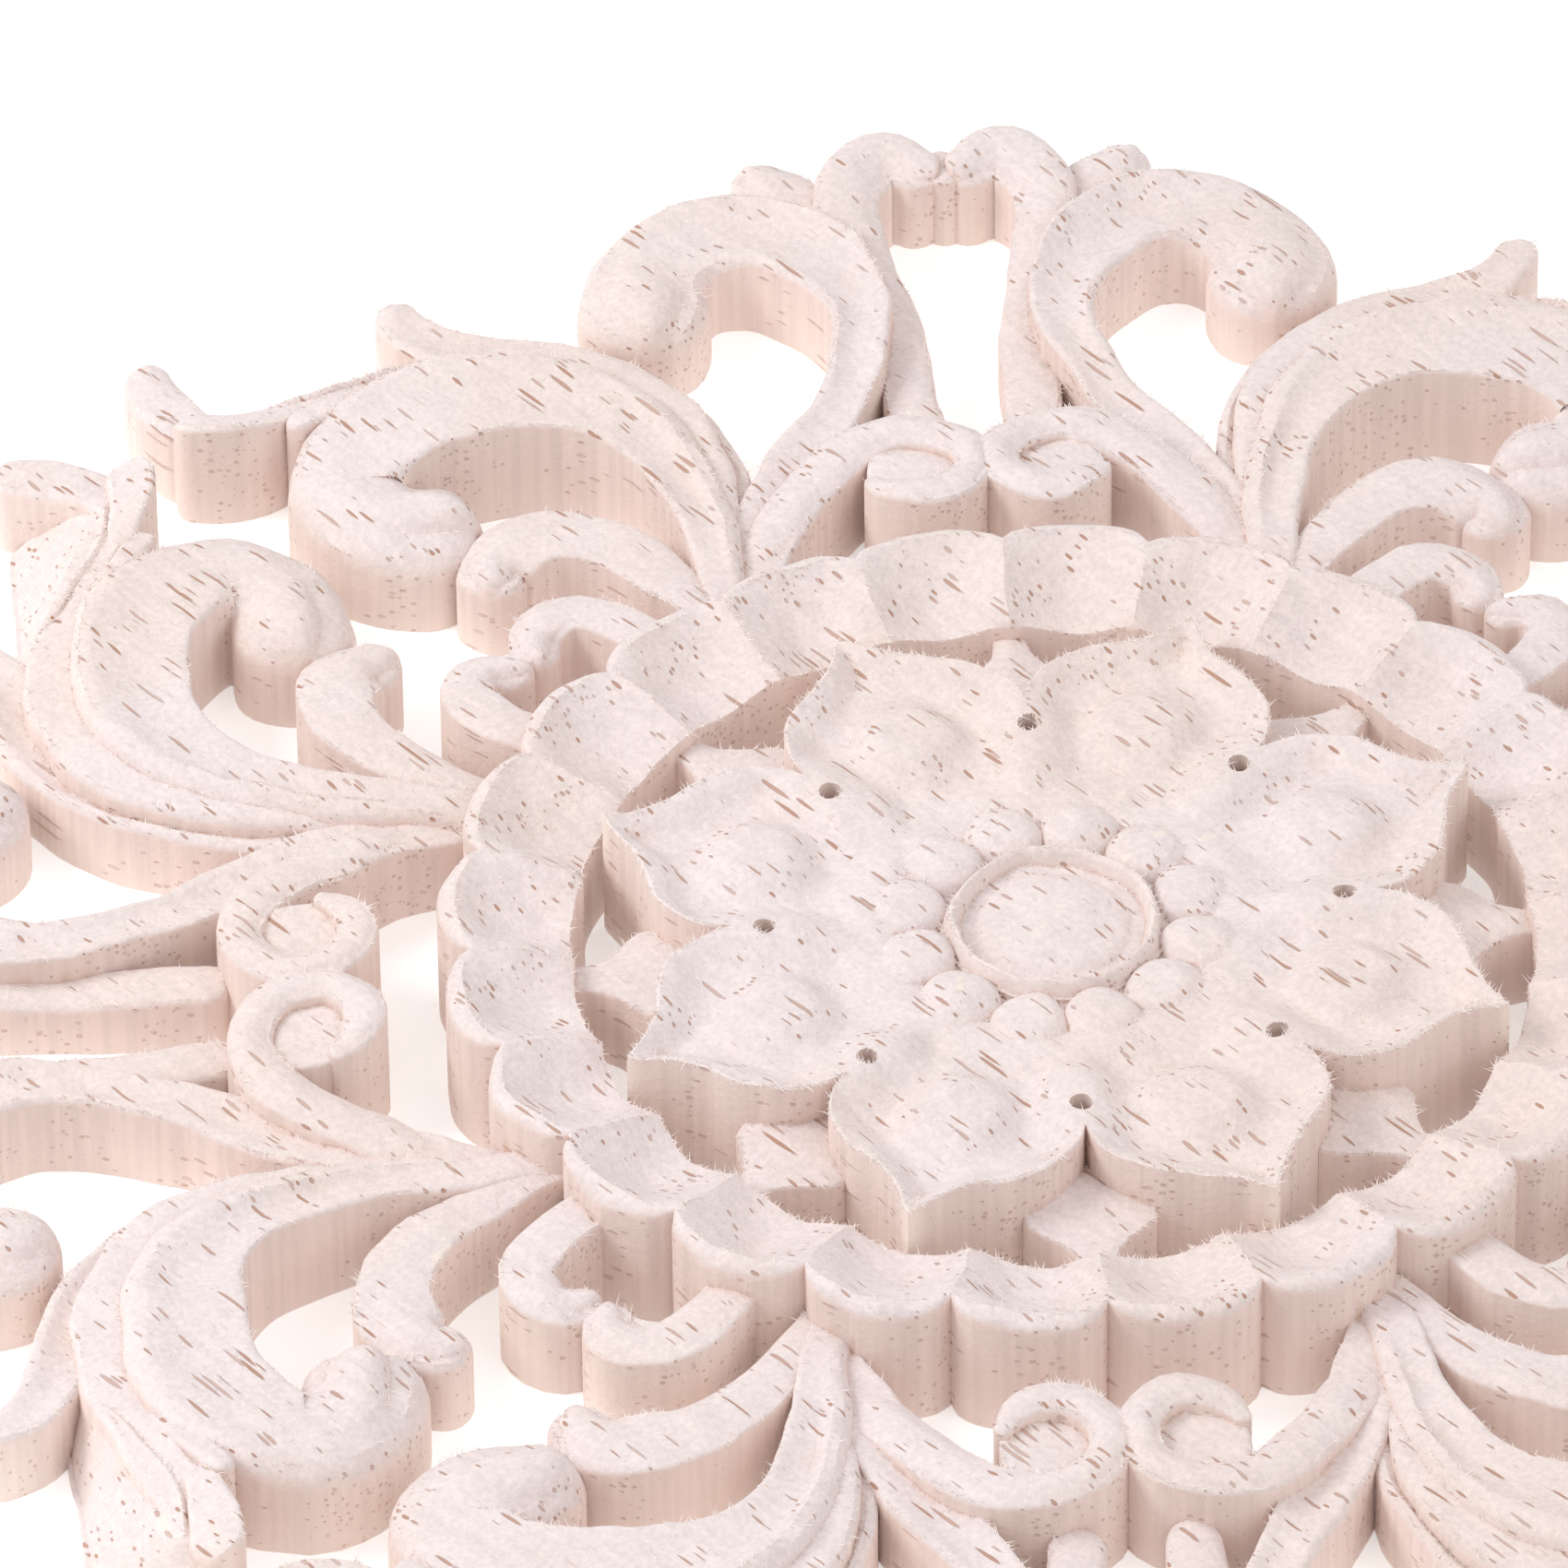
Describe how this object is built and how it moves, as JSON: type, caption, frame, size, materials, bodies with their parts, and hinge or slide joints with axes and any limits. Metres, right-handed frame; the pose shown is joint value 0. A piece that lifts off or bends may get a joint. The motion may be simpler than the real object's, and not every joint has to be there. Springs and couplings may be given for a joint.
{
  "type": "carved wood applique",
  "caption": "Openwork carved wood rosette with a petalled centre in a scalloped ring, scrolling leaves and crown loops around it, flat on its back for fixing to furniture or a wall.",
  "frame": {"origin": "centre of the flat back, under the middle of the rosette", "axes": "+Z out of the back through the carved face, +Y through the middle of one pair of crown loops"},
  "size_m": [0.3, 0.3, 0.018],
  "materials": {
    "raw_wood": "raw sanded, unpainted"
  },
  "bodies": {
    "root": {"carved_rosette": "raw_wood"}
  },
  "joints": []
}
